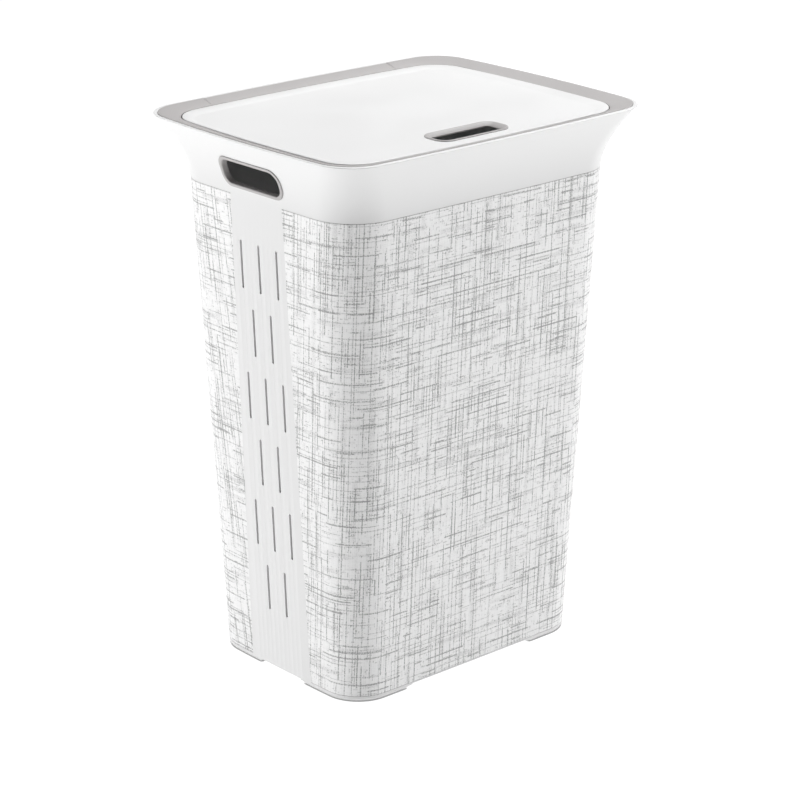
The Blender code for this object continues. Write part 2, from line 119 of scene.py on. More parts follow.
# Hinge strip: the length of the rim between two seams at the back, which turns with the lid
STRIP_END = 131.0 * MM
SEAM_HALF = 0.3 * MM
STRIP_OUTER_T = 0.955
STRIP_TONGUE_T = -1.6
STRIP_TONGUE_Z = (598.0 * MM, 599.6 * MM)
STUD_X = (-100.0 * MM, -40.0 * MM, 40.0 * MM, 100.0 * MM)
STUD_Y = 131.0 * MM
STUD_RADIUS = 2.0 * MM
STUD_GAP = 0.2 * MM
UPSTAND_T = (0.42, 0.50)
UPSTAND_Z = 602.6 * MM
HINGE_Y = 163.6 * MM
HINGE_Z = 606.1 * MM
BARREL_RADIUS = 2.0 * MM
BARREL_LENGTH = 13.0 * MM
BORE_RADIUS = 1.2 * MM
BORE_HALF = 10.4 * MM

# Recess under the lip behind the strip: its gap around the rim, and its distance in and height
RECESS_GAP = 0.3 * MM
RECESS = (
    (5.0 * MM, 599.7 * MM),
    (2.2 * MM, 601.2 * MM),
    (1.0 * MM, 602.4 * MM),
    (0.0 * MM, 604.2 * MM),
    (0.0 * MM, 607.6 * MM),
)

# Lid
LID = (197.6 * MM, 151.6 * MM, 35.3 * MM, 6.3 * MM, 5.3 * MM)
LID_EDGE_Z = 604.9 * MM
LID_PANEL_Z = 602.1 * MM
LID_SKIRT_Z = 600.5 * MM
LID_BORDER = 13.0 * MM
LID_SKIN = 2.2 * MM
LID_SKIRT = 1.8 * MM
LID_NOSE = 1.2 * MM
LID_RIB_Z = 597.2 * MM
LID_RIB = 1.8 * MM
LID_RIB_X = (-110.0 * MM, -62.0 * MM, 62.0 * MM, 110.0 * MM)

# Lid handle
LID_HANDLE_Y = -109.2 * MM
LID_HANDLE_FLANGE = (49.2 * MM, 19.7 * MM, 14.5 * MM)
LID_HANDLE_SLEEVE = (44.6 * MM, 15.8 * MM, 9.6 * MM)
LID_HANDLE_INNER = (41.6 * MM, 12.9 * MM, 6.5 * MM)
LID_HANDLE_TOP = 603.6 * MM
LID_HANDLE_BOTTOM = 598.9 * MM

# Both kinds of bezel
SLEEVE_GAP = 0.3 * MM
BEZEL_SEAT = 0.05 * MM
BEZEL_ROUND = 0.7 * MM

SHARP_ANGLE = math.radians(35)
CORNER_STEPS = 20
LONG_STEPS = 14
SHORT_STEPS = 10
FILM_STEPS = 24

# Printed threads: strength, pitch, half width as a share of the pitch, dash length, and the
# threshold and softness of the noise that breaks a thread into dashes
THREADS_UP = (
    (0.08, 2.1 * MM, 0.20, 90.0 * MM, 0.36, 0.20),
    (0.38, 5.3 * MM, 0.08, 120.0 * MM, 0.49, 0.04),
    (0.66, 8.7 * MM, 0.05, 80.0 * MM, 0.53, 0.03),
    (0.28, 3.1 * MM, 0.14, 8.0 * MM, 0.61, 0.05),
    (0.13, 15.0 * MM, 0.14, 90.0 * MM, 0.54, 0.06),
)
THREADS_ROUND = (
    (0.06, 1.9 * MM, 0.20, 80.0 * MM, 0.36, 0.20),
    (0.30, 5.7 * MM, 0.08, 75.0 * MM, 0.50, 0.04),
    (0.56, 9.7 * MM, 0.06, 50.0 * MM, 0.55, 0.03),
    (0.30, 3.3 * MM, 0.13, 8.0 * MM, 0.60, 0.05),
    (0.15, 13.0 * MM, 0.15, 60.0 * MM, 0.56, 0.06),
)
THREAD_DRIFT = 0.5 * MM
# Strength of the painted shade line along the film's top edge, under the collar's groove
TOP_GROOVE_SHADE = 0.15
INK_LIMIT = 0.72
INK = (0.075, 0.075, 0.075)
WHITE = (0.80, 0.80, 0.80)
FILM_WHITE = (0.95, 0.95, 0.95)
GREY = (0.46, 0.445, 0.443)
STEEL = (0.60, 0.60, 0.61)
GRAIN_DEPTH = 0.3 * MM

# Studio
FLOOR_HALF = 30.0
FLOOR_GREY = (0.20, 0.20, 0.20)
FLOOR_GLOW = 0.98
# Reach of the floor's painted contact shadow
FLOOR_SHADE_REACH = 2.5 * MM
WORLD_GLOW = 0.02

# Softboxes, all turned to the middle of the basket: name, place, width and height, power
SOFTBOX_TARGET = (0.0, 0.0, 0.3)
SOFTBOXES = (
    ("softbox_left", (-2.4, 1.8, 0.7), (2.0, 1.2), 44.5),
    ("softbox_right", (2.5, -1.7, 1.2), (2.0, 2.0), 44.0),
    ("softbox_top", (0.3, 0.2, 3.5), (2.0, 2.0), 88.0),
    ("softbox_top_right", (1.9, 0.5, 2.9), (2.0, 2.0), 35.0),
)

# Camera
LENS = 122.66
SENSOR_WIDTH = 36.0
CAMERA_PLACE = (-1871.1 * MM, -2125.4 * MM, 1289.6 * MM)
CAMERA_TARGET = (2.23 * MM, -2.54 * MM, 278.59 * MM)


# ---------------------------------------------------------------- outlines


def lerp(a, b, t):
    return a + (b - a) * t


def mix_shape(a, b, t):
    return tuple(lerp(p, q, t) for p, q in zip(a, b))


def grow(shape, margin):
    """Offset an outline's sides and corners outwards."""
    half_w, half_d, radius, bow_x, bow_y = shape
    return (half_w + margin, half_d + margin, radius + margin, bow_x, bow_y)


def spread(half, steps):
    """Evenly spaced positions from the middle of a side towards its end, without the end."""
    return [half * i / steps for i in range(steps)]


def outline(shape, x_marks=None, y_marks=None):
    """Points of a bowed rounded rectangle, counter-clockwise from the +X side's back end.

    x_marks and y_marks are the positive positions of the extra points on the
    long and the short sides; without them the points are evenly spread.
    """
    half_w, half_d, radius, bow_x, bow_y = shape
    flat_w = half_w - bow_x
    flat_d = half_d - bow_y
    x_marks = x_marks or spread(flat_w - radius, LONG_STEPS)
    y_marks = y_marks or spread(flat_d - radius, SHORT_STEPS)
    points = []
    for sign_x, sign_y, start in ((1, 1, 0), (-1, 1, 90), (-1, -1, 180), (1, -1, 270)):
        centre_x = sign_x * (flat_w - radius)
        centre_y = sign_y * (flat_d - radius)
        for step in range(CORNER_STEPS + 1):
            angle = math.radians(start + 90 * step / CORNER_STEPS)
            points.append((centre_x + radius * math.cos(angle), centre_y + radius * math.sin(angle)))
        marks = x_marks if sign_x == sign_y else y_marks
        for mark in sorted({m for v in marks for m in (v, -v)}, reverse=True):
            if sign_x == sign_y:
                points.append((sign_x * mark, sign_y * flat_d))
            else:
                points.append((sign_x * flat_w, -sign_x * mark))
    bowed = []
    for x, y in points:
        reach_x = min(1.0, abs(x) / flat_w)
        reach_y = min(1.0, abs(y) / flat_d)
        bowed.append((x + x * bow_x / flat_w * (1 - reach_y**2), y + y * bow_y / flat_d * (1 - reach_x**2)))
    return bowed


def rounded_rect(half_long, half_short, radius, steps=12):
    """A plain rounded rectangle around the origin."""
    points = []
    for sign_u, sign_v, start in ((1, 1, 0), (-1, 1, 90), (-1, -1, 180), (1, -1, 270)):
        for step in range(steps + 1):
            angle = math.radians(start + 90 * step / steps)
            u = sign_u * (half_long - radius) + radius * math.cos(angle)
            v = sign_v * (half_short - radius) + radius * math.sin(angle)
            points.append((u, v))
    return points


def level(points, z):
    return [(x, y, z) for x, y in points]


def arc(centre, radius, start, end, steps):
    """Points of an arc in a section plane, angles in degrees."""
    points = []
    for step in range(steps + 1):
        angle = math.radians(lerp(start, end, step / steps))
        points.append((centre[0] + radius * math.cos(angle), centre[1] + radius * math.sin(angle)))
    return points


# ---------------------------------------------------------------- meshes


def loft(rows, wrap=False):
    """Skin equal closed loops of points: a body with both ends capped, or a ring with wrap."""
    count = len(rows[0])
    verts = [point for row in rows for point in row]
    faces = []
    for r in range(len(rows) if wrap else len(rows) - 1):
        low = r * count
        high = ((r + 1) % len(rows)) * count
        for i in range(count):
            j = (i + 1) % count
            faces.append((low + i, low + j, high + j, high + i))
    if not wrap:
        faces.append(tuple(range(count))[::-1])
        faces.append(tuple(range((len(rows) - 1) * count, len(rows) * count)))
    return verts, faces


def prism(profile, axis, low, high):
    """Extrude a closed profile between two places along an axis."""
    rows = []
    for place in (low, high):
        row = []
        for u, v in profile:
            point = [u, v]
            point.insert(axis, place)
            row.append(tuple(point))
        rows.append(row)
    return loft(rows)


def merged(parts):
    """Put several bodies' points and faces into one mesh."""
    verts = []
    faces = []
    for part_verts, part_faces in parts:
        start = len(verts)
        verts.extend(part_verts)
        faces.extend(tuple(start + i for i in face) for face in part_faces)
    return verts, faces


def box(x, y, z):
    profile = ((x[0], y[0]), (x[1], y[0]), (x[1], y[1]), (x[0], y[1]))
    return prism(profile, 2, z[0], z[1])


def add_mesh(name, verts, faces, mat=None):
    mesh = bpy.data.meshes.new(name)
    mesh.from_pydata(verts, [], faces)
    tidy = bmesh.new()
    tidy.from_mesh(mesh)
    bmesh.ops.recalc_face_normals(tidy, faces=tidy.faces)
    tidy.to_mesh(mesh)
    tidy.free()
    obj = bpy.data.objects.new(name, mesh)
    bpy.context.scene.collection.objects.link(obj)
    if mat:
        mesh.materials.append(mat)
    mesh.shade_smooth()
    mesh.set_sharp_from_angle(angle=SHARP_ANGLE)
    return obj


def cut(obj, verts, faces, operation="DIFFERENCE"):
    """Apply a Boolean with a temporary tool body."""
    tool = add_mesh("tool", verts, faces)
    modifier = obj.modifiers.new("cut", "BOOLEAN")
    modifier.operation = operation
    modifier.object = tool
    modifier.solver = "EXACT"
    bpy.context.view_layer.update()
    depsgraph = bpy.context.evaluated_depsgraph_get()
    result = bpy.data.meshes.new_from_object(obj.evaluated_get(depsgraph))
    obj.modifiers.clear()
    obj.data = result
    bpy.data.objects.remove(tool, do_unlink=True)
    result.shade_smooth()
    result.set_sharp_from_angle(angle=SHARP_ANGLE)


# ---------------------------------------------------------------- material nodes


def add_node(tree, kind, sockets=None, **settings):
    """Make a node, set its properties, and fill its sockets with numbers or links."""
    made = tree.nodes.new(kind)
    for key, value in settings.items():
        setattr(made, key, value)
    for key, value in (sockets or {}).items():
        if isinstance(value, bpy.types.NodeSocket):
            tree.links.new(value, made.inputs[key])
        else:
            made.inputs[key].default_value = value
    return made


def calc(tree, operation, *values):
    made = add_node(tree, "ShaderNodeMath", dict(enumerate(values)), operation=operation)
    return made.outputs[0]


def ramp(tree, value, low, high, out_low=0.0, out_high=1.0):
    """A smooth step from out_low at low to out_high at high."""
    sockets = {"Value": value, "From Min": low, "From Max": high, "To Min": out_low, "To Max": out_high}
    made = add_node(tree, "ShaderNodeMapRange", sockets, interpolation_type="SMOOTHSTEP")
    return made.outputs[0]


def noise(tree, place, scale, detail=2.0, dimensions="3D"):
    sockets = {"Vector": place, "Scale": scale, "Detail": detail}
    made = add_node(tree, "ShaderNodeTexNoise", sockets, noise_dimensions=dimensions)
    return made.outputs[0]


def object_place(tree):
    return add_node(tree, "ShaderNodeTexCoord").outputs["Object"]


def blank_material(name, colour, roughness, metallic=0.0):
    mat = bpy.data.materials.new(name)
    mat.use_nodes = True
    shader = mat.node_tree.nodes["Principled BSDF"]
    shader.inputs["Base Color"].default_value = (*colour, 1.0)
    shader.inputs["Roughness"].default_value = roughness
    shader.inputs["Metallic"].default_value = metallic
    return mat, mat.node_tree, shader


def painted_seam_shade(tree, colour, reach):
    """Painted shade: darken a colour in narrow seams and under edges, where little light gets in."""
    sockets = {"Color": (1.0, 1.0, 1.0, 1.0), "Distance": reach}
    open_share = add_node(tree, "ShaderNodeAmbientOcclusion", sockets, samples=6).outputs["AO"]
    shade = ramp(tree, open_share, 0.15, 0.80, 0.45, 1.0)
    mixed = {0: 1.0, 6: colour, 7: shade}
    shaded = add_node(tree, "ShaderNodeMix", mixed, data_type="RGBA", blend_type="MULTIPLY")
    return shaded.outputs[2]


def moulded_plastic(name, colour, roughness, seam_shade_reach, grain_scale, grain):
    """Satin plastic with a fine moulded grain, slightly uneven gloss and painted shade in its seams."""
    mat, tree, shader = blank_material(name, colour, roughness)
    place = object_place(tree)
    # Painted shade: the base colour is darkened in seams and under edges
    tree.links.new(painted_seam_shade(tree, (*colour, 1.0), seam_shade_reach), shader.inputs["Base Color"])
    gloss = ramp(tree, noise(tree, place, 14.0), 0.3, 0.7, roughness - 0.03, roughness + 0.03)
    tree.links.new(gloss, shader.inputs["Roughness"])
    grain_height = noise(tree, place, grain_scale, detail=1.0)
    sockets = {"Strength": grain, "Distance": GRAIN_DEPTH, "Height": grain_height}
    bump = add_node(tree, "ShaderNodeBump", sockets)
    tree.links.new(bump.outputs[0], shader.inputs["Normal"])
    return mat


def dashes(tree, across, along, pitch, half_width, dash, threshold, softness, seed):
    """Mask of the printed dashes on one family of threads, 1 on a dash and 0 beside it."""
    place = calc(tree, "ADD", calc(tree, "DIVIDE", across, pitch), seed)
    index = calc(tree, "FLOOR", place)
    chance = add_node(tree, "ShaderNodeTexWhiteNoise", {"W": index}, noise_dimensions="1D").outputs["Value"]
    middle = calc(tree, "ADD", calc(tree, "MULTIPLY", chance, 0.6), 0.2)
    beside = calc(tree, "ABSOLUTE", calc(tree, "SUBTRACT", calc(tree, "FRACT", place), middle))
    line = ramp(tree, beside, half_width, half_width * 1.6, 1.0, 0.0)
    shifted = calc(tree, "ADD", calc(tree, "DIVIDE", along, dash), calc(tree, "MULTIPLY", chance, 97.0))
    point = add_node(tree, "ShaderNodeCombineXYZ", {"X": shifted, "Y": calc(tree, "MULTIPLY", index, 3.7)})
    print_noise = noise(tree, point.outputs[0], 1.0, detail=1.0, dimensions="2D")
    printed = ramp(tree, print_noise, threshold, threshold + softness)
    return calc(tree, "MULTIPLY", line, printed)


def linen_print(name, seed):
    """Grey linen weave printed on white: straight threads, slubs and soft streaks both ways, with a painted
    shade line along the top edge.
    """
    mat, tree, shader = blank_material(name, FILM_WHITE, 0.42)
    uv = add_node(tree, "ShaderNodeUVMap", uv_map="cloth").outputs[0]
    split = add_node(tree, "ShaderNodeSeparateXYZ", {0: uv})
    u, v = split.outputs[0], split.outputs[1]
    drift = noise(tree, uv, 25.0, detail=1.0, dimensions="2D")
    drift = calc(tree, "MULTIPLY", calc(tree, "SUBTRACT", drift, 0.5), THREAD_DRIFT)
    ink = None
    for across, along, threads in ((u, v, THREADS_UP), (v, u, THREADS_ROUND)):
        bent = calc(tree, "ADD", across, drift)
        for strength, *sizes in threads:
            seed += 6.3
            shade = calc(tree, "MULTIPLY", dashes(tree, bent, along, *sizes, seed), strength)
            ink = shade if ink is None else calc(tree, "ADD", ink, shade)
    clusters = noise(tree, uv, 20.0, dimensions="2D")
    ink = calc(tree, "MULTIPLY", ink, ramp(tree, clusters, 0.30, 0.70, 0.75, 1.15))
    grain = noise(tree, uv, 700.0, detail=1.0, dimensions="2D")
    ink = calc(tree, "MULTIPLY", ink, ramp(tree, grain, 0.35, 0.65, 0.45, 1.40))
    # Painted shade: a dark line along the film's top edge, where it meets the collar
    groove_shade = ramp(tree, v, FILM_Z[1] - 1.0 * MM, FILM_Z[1] - 0.5 * MM, 0.0, TOP_GROOVE_SHADE)
    ink = calc(tree, "MINIMUM", calc(tree, "ADD", ink, groove_shade), INK_LIMIT)
    sockets = {0: ink, 6: (*FILM_WHITE, 1.0), 7: (*INK, 1.0)}
    mix = add_node(tree, "ShaderNodeMix", sockets, data_type="RGBA")
    tree.links.new(mix.outputs[2], shader.inputs["Base Color"])
    return mat


def drawn_steel(name):
    mat, tree, shader = blank_material(name, STEEL, 0.30, metallic=1.0)
    along_the_wire = {"Vector": object_place(tree), "Scale": (40.0, 4000.0, 4000.0)}
    stretched = add_node(tree, "ShaderNodeMapping", along_the_wire)
    gloss = ramp(tree, noise(tree, stretched.outputs[0], 1.0), 0.3, 0.7, 0.22, 0.38)
    tree.links.new(gloss, shader.inputs["Roughness"])
    return mat


# ---------------------------------------------------------------- basket


def flare(z):
    """How far the collar has swung out at a height, from 0 at its foot to 1 at the lip."""
    height = max(0.0, (z - COLLAR_Z) / (LIP_Z - COLLAR_Z))
    return height**FLARE_POWER


def straight_shape(z):
    """The outline that the wall would have at a height if it kept its taper."""
    taper = z / COLLAR_Z
    sides = mix_shape(BASE[:2], COLLAR[:2], taper)
    corners = mix_shape(BASE[2:], COLLAR[2:], min(1.0, taper))
    return sides + corners


def wall_shape(z):
    """The basket's outer outline at a height."""
    straight = straight_shape(z)
    top = straight_shape(LIP_Z)
    return tuple(s + (lip - t) * flare(z) for s, t, lip in zip(straight, top, LIP))


def strip_half(z):
    return lerp(STRIP_HALF[0], STRIP_HALF[1], min(1.0, z / COLLAR_Z))


def side_marks(shape, z):
    """Points of a short side: around every rib, at the strip's edge, and on to the corner."""
    edge = strip_half(z)
    marks = [0.0, RIB_HALF]
    for i in range(1, RIB_COUNT + 1):
        marks.extend((i * RIB_PITCH - RIB_HALF, i * RIB_PITCH, i * RIB_PITCH + RIB_HALF))
    marks.extend((edge, edge + FILM_EDGE_GAP))
    end = shape[1] - shape[4] - shape[2]
    marks.extend(lerp(edge, end, i / SHORT_STEPS) for i in range(1, SHORT_STEPS))
    return marks


def wall_loop(z, margin=0.0):
    shape = grow(wall_shape(z), margin)
    return outline(shape, None, side_marks(shape, z))


def ribbed(points, z):
    """Raise the strip's ribs on a wall outline."""
    rise = RIB_RISE * min(1.0, max(0.0, (RIB_TOP_Z[1] - z) / (RIB_TOP_Z[1] - RIB_TOP_Z[0])))
    raised = []
    for x, y in points:
        rib = y / RIB_PITCH
        on_rib = abs(rib - round(rib)) < 0.01 and abs(round(rib)) <= RIB_COUNT and abs(x) > WIDTH / 4
        raised.append((x + math.copysign(rise, x) if on_rib else x, y))
    return raised


def outer_rows():
    """The outer skin from the floor up to the lip, a little sunk where the films lie."""
    rows = [
        level(wall_loop(0.0, -FOOT_BEVEL), 0.0),
        level(wall_loop(FOOT_BEVEL_Z - 0.6 * MM, -0.5 * MM), FOOT_BEVEL_Z - 0.6 * MM),
        level(wall_loop(FOOT_BEVEL_Z), FOOT_BEVEL_Z),
        level(wall_loop(FILM_Z[0] - FILM_GROOVE), FILM_Z[0] - FILM_GROOVE),
    ]
    for z in (FILM_Z[0] - FILM_GROOVE / 2, *RIB_TOP_Z, FILM_Z[1] + FILM_GROOVE / 2):
        plain = ribbed(wall_loop(z), z)
        seat = wall_loop(z, -FILM_SEAT)
        edge = strip_half(z) + FILM_EDGE_GAP / 2
        rows.append(level([p if abs(p[1]) < edge else s for p, s in zip(plain, seat)], z))
    collar_foot = FILM_Z[1] + FILM_GROOVE
    for step in range(25):
        z = lerp(collar_foot, LIP_Z, step / 24)
        rows.append(level(wall_loop(z), z))
    return rows


def lip_rows():
    """Round the lip, down into the rim's seat and in over its shelf."""
    rows = []
    for inset, rise in arc((-LIP_ROUND, 0.0), LIP_ROUND, 0, 90, 5)[1:]:
        rows.append(level(outline(grow(LIP, inset), None, side_marks(LIP, LIP_Z)), LIP_Z + rise))
    seat = grow(RIM_OUTER, RIM_SEAT_GAP)
    seat_marks = side_marks(seat, LIP_Z)
    top = LIP_Z + LIP_ROUND
    shelf = RIM_SHELF_Z + RIM_SHELF_LIFT
    rows.append(level(outline(grow(seat, RIM_SEAT_CHAMFER), None, seat_marks), top))
    rows.append(level(outline(seat, None, seat_marks), top - RIM_SEAT_CHAMFER))
    rows.append(level(outline(seat, None, seat_marks), shelf))
    rows.append(level(outline(grow(seat, -RIM_SHELF), None, seat_marks), shelf))
    return rows


def inner_rows():
    """The inner skin from under the rim down to the rounded foot of the wall."""
    rows = []
    for step in range(16):
        z = lerp(RIM_SHELF_Z - RIM_SHELF, COLLAR_Z - 12 * MM, step / 15)
        rows.append(level(wall_loop(z, -WALL * (1 + WALL_SWELL * flare(z))), z))
    for inset, drop in arc((-FLOOR_FILLET, 0.0), FLOOR_FILLET, 0, -90, 5):
        z = FLOOR_TOP + FLOOR_FILLET + drop
        rows.append(level(wall_loop(z, inset - WALL - FILM_SEAT / 2), z))
    return rows


def arch_profile(foot, top):
    """The hollow between two feet: wide on the floor, narrower at its flat top."""
    return ((-foot, -MM), (foot, -MM), (foot, 0), (top, ARCH_Z), (-top, ARCH_Z), (-foot, 0))


def slot_tools():
    """Round-ended vents, each going through both short sides."""
    tools = []
    for row in range(SLOT_ROWS):
        centre_z = SLOT_TOP_ROW_Z - row * SLOT_PITCH_Z
        for column in (-1, 0, 1) if row % 2 == 0 else (-0.5, 0.5):
            profile = rounded_rect(SLOT_WIDTH / 2, SLOT_LENGTH / 2, SLOT_WIDTH / 2 - 0.05 * MM, steps=5)
            profile = [(y + column * SLOT_PITCH_Y, z + centre_z) for y, z in profile]
            tools.append(prism(profile, 0, -WIDTH, WIDTH))
    return tools


def hinge_recess():
    """Room under the lip for the strip's outer edge, which swings down as the lid opens."""
    half = STRIP_END + BARREL_LENGTH + 2 * MM
    marks = spread(half, LONG_STEPS) + [half]
    seat = outline(grow(RIM_OUTER, RECESS_GAP), marks)
    back = sorted((p for p in seat if p[1] > BACK_ZONE_Y and abs(p[0]) < half + 0.1 * MM), key=lambda p: p[0])
    rows = []
    for inset, z in RECESS:
        loop = [(x, y - inset) for x, y in back] + [(half, BACK_ZONE_Y), (-half, BACK_ZONE_Y)]
        rows.append(level(loop, z))
    return loft(rows)


def make_shell(mat):
    rows = outer_rows() + lip_rows() + inner_rows()
    shell = add_mesh("visual_basket_shell", *loft(rows), mat)
    cut(shell, *prism(arch_profile(*ARCH_X), 1, -DEPTH, DEPTH))
    cut(shell, *prism(arch_profile(*ARCH_Y), 0, -WIDTH, WIDTH))
    hole = rounded_rect(*(v + SLEEVE_GAP for v in HANDLE_SLEEVE))
    hole = [(y, z + HANDLE_Z) for y, z in hole]
    cut(shell, *merged(slot_tools() + [prism(hole, 0, -WIDTH, WIDTH)]))
    cut(shell, *hinge_recess())
    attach(shell, "basket")
    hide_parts("basket_shell")


def film_row(z, side, margin):
    """The wall's points at a height from one strip's edge round a long side to the other's."""
    edge = strip_half(z) + FILM_EDGE_GAP
    kept = [p for p in wall_loop(z, margin) if p[1] * side > edge - 0.01 * MM]
    kept.sort(key=lambda p: math.atan2(p[0], p[1] * side))
    return kept


def arc_lengths(points):
    """Distance of each point along the row from the row's middle."""
    lengths = [0.0]
    for a, b in zip(points, points[1:]):
        lengths.append(lengths[-1] + math.dist(a, b))
    middle = lengths[len(points) // 2]
    return [length - middle for length in lengths]


def film_faces(count, steps):
    """Skin two equal grids of points, the outer one first, and join them around their edges."""
    back = count * (steps + 1)
    faces = []
    for s in range(steps):
        for i in range(count - 1):
            a = s * count + i
            face = (a, a + 1, a + count + 1, a + count)
            faces.append(face)
            faces.append(tuple(back + v for v in reversed(face)))
        for a in (s * count, s * count + count - 1):
            faces.append((a, a + count, back + a + count, back + a))
    for start in (0, steps * count):
        for i in range(count - 1):
            a = start + i
            faces.append((a, a + 1, back + a + 1, back + a))
    return faces


def make_film(name, node, side, mat):
    """A thin skin around one long side, with its own map of distance along it and height."""
    verts = []
    places = []
    for margin in (0.0, -FILM):
        for step in range(FILM_STEPS + 1):
            z = lerp(FILM_Z[0], FILM_Z[1], step / FILM_STEPS)
            row = film_row(z, side, margin)
            verts.extend(level(row, z))
            places.extend((length, z) for length in arc_lengths(row))
    count = len(film_row(FILM_Z[0], side, 0.0))
    film = add_mesh(name, verts, film_faces(count, FILM_STEPS), mat)
    cloth = film.data.uv_layers.new(name="cloth")
    for loop in film.data.loops:
        cloth.data[loop.index].uv = places[loop.vertex_index]
    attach(film, "basket")
    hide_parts(node)


# ---------------------------------------------------------------- rim and hinge strip


def rim_face_z(t, y):
    """Height of the rim's face at a share of its width, where its inner edge is at a given y."""
    start, end = RIM_RISE_Y
    rise = min(1.0, max(0.0, (y - start) / (end - start)))
    return lerp(lerp(*RIM_INNER_Z, rise), HEIGHT, t)


def place_section(pair, section):
    """Place a section, given as (share of the face's width, height), between two edges."""
    (x0, y0), (x1, y1) = pair
    return [(lerp(x0, x1, t), lerp(y0, y1, t), z) for t, z in section]


def face_section(outer_t, y):
    """The sloping face with its rounded inner and outer edge, as (share of width, height)."""
    nose = 0.035
    brow = 0.07
    drop = 0.9 * MM
    inner_z = rim_face_z(0.0, y)
    outer_z = rim_face_z(outer_t, y)
    points = [(0.0, inner_z - drop)]
    for step in range(5):
        angle = math.radians(180 - 90 * step / 4)
        points.append((nose * (1 + math.cos(angle)), inner_z + (math.sin(angle) - 0.9) * 0.5 * MM))
    for step in range(5):
        angle = math.radians(90 - 90 * step / 4)
        points.append((outer_t - brow + brow * math.cos(angle), outer_z - (1 - math.sin(angle)) * drop))
    points.append((outer_t - RIM_UNDERCUT, outer_z - 1.2 * MM))
    points.append((outer_t - RIM_UNDERCUT, outer_z - RIM_SKIN))
    return points


def rim_section(pair):
    """The rim's cross-section: a sloping face, a skirt and a ledge, or the low channel under the strip."""
    x, y = pair[0]
    back = y > BACK_ZONE_Y
    ledge_t = BACK_LEDGE_T if back else LEDGE_T
    ledge = BACK_LEDGE_Z if back else LEDGE_Z
    face = face_section(1.0, y)
    if back and abs(x) < STRIP_END:
        inside, outside = UPSTAND_T
        section = [(lerp(inside, outside, i / (len(face) - 1)), UPSTAND_Z) for i in range(len(face))]
        section.append((outside, lerp(UPSTAND_Z, ledge[0], 0.5)))
        section.append((outside, ledge[0]))
        inner_end = inside
    else:
        section = face
        section.append((RIM_SKIRT, rim_face_z(RIM_SKIRT, y) - RIM_SKIN))
        section.append((RIM_SKIRT, ledge[0]))
        inner_end = 0.0
    return section + [(ledge_t, ledge[0]), (ledge_t, ledge[1]), (inner_end, ledge[1])]


def strip_section(y):
    return face_section(STRIP_OUTER_T, y) + [
        (RIM_SKIRT, rim_face_z(RIM_SKIRT, y) - RIM_SKIN),
        (RIM_SKIRT, STRIP_TONGUE_Z[0]),
        (STRIP_TONGUE_T, STRIP_TONGUE_Z[0]),
        (STRIP_TONGUE_T, STRIP_TONGUE_Z[1]),
        (0.0, STRIP_TONGUE_Z[1]),
    ]


def turn(steps):
    """Angles evenly spaced around a circle."""
    return [2 * math.pi * i / steps for i in range(steps)]


def hinge_rods(radius, low, high, steps=24):
    """A rod on the hinge axis on each side, between two distances from the middle."""
    circle = [(HINGE_Y + radius * math.cos(a), HINGE_Z + radius * math.sin(a)) for a in turn(steps)]
    return merged([prism(circle, 0, *sorted((side * low, side * high))) for side in (-1, 1)])


def studs(radius, low, high):
    circle = [(radius * math.cos(a), radius * math.sin(a)) for a in turn(20)]
    return merged([prism([(x + u, STUD_Y + v) for u, v in circle], 2, low, high) for x in STUD_X])


def rim_marks(end):
    return spread(end, LONG_STEPS) + [end]


def make_rim(mat):
    marks = rim_marks(STRIP_END - SEAM_HALF) + [STRIP_END + SEAM_HALF, RIM_BACK_MARK]
    pairs = zip(outline(RIM_INNER, marks), outline(RIM_OUTER, marks))
    sections = [place_section(pair, rim_section(pair)) for pair in pairs]
    rim = add_mesh("visual_rim_frame", *loft(sections, wrap=True), mat)
    start = STRIP_END + SEAM_HALF
    cut(rim, *hinge_rods(BARREL_RADIUS, start, start + BARREL_LENGTH), operation="UNION")
    cut(rim, *hinge_rods(BORE_RADIUS, STRIP_END - MM, STRIP_END + BORE_HALF))
    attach(rim, "basket")
    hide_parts("rim_frame")


def make_hinge_strip(mat):
    end = STRIP_END - SEAM_HALF
    marks = rim_marks(end)
    pairs = [p for p in zip(outline(RIM_INNER, marks), outline(RIM_OUTER, marks))
             if p[0][1] > BACK_ZONE_Y and abs(p[0][0]) < end + 0.01 * MM]
    pairs.sort(key=lambda p: -p[0][0])
    sections = [place_section(pair, strip_section(pair[0][1])) for pair in pairs]
    strip = add_mesh("visual_hinge_strip", *loft(sections), mat)
    cut(strip, *hinge_rods(BARREL_RADIUS, end - BARREL_LENGTH, end), operation="UNION")
    cut(strip, *hinge_rods(BORE_RADIUS, STRIP_END - BORE_HALF, STRIP_END + MM))
    cut(strip, *studs(STUD_RADIUS + STUD_GAP, STRIP_TONGUE_Z[0] - MM, STRIP_TONGUE_Z[1] + MM))
    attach(strip, "lid")
    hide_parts("hinge_strip")


# ---------------------------------------------------------------- lid


def lid_rows():
    """From the dished panel up to the rounded edge, down the skirt and back under the panel."""
    slope = (LID_EDGE_Z - LID_PANEL_Z) / (LID_BORDER - LID_NOSE)
    profile = [(LID_BORDER + 12 * MM, LID_PANEL_Z)]
    for step in range(7):
        run = 1.6 * MM * (step / 3 - 1)
        lift = slope * (run + 1.6 * MM) ** 2 / (6.4 * MM)
        profile.append((LID_BORDER - run, LID_PANEL_Z + lift))
    for inset, drop in arc((LID_NOSE, -LID_NOSE), LID_NOSE, 105, 180, 7):
        profile.append((inset, LID_EDGE_Z + drop))
    profile.extend((
        (0.0, LID_SKIRT_Z + 0.3 * MM),
        (0.3 * MM, LID_SKIRT_Z),
        (LID_SKIRT, LID_SKIRT_Z),
        (LID_SKIRT, LID_EDGE_Z - LID_SKIN - 0.4 * MM),
        (LID_BORDER, LID_PANEL_Z - LID_SKIN),
    ))
    return [level(outline(grow(LID, -inset)), z) for inset, z in profile]


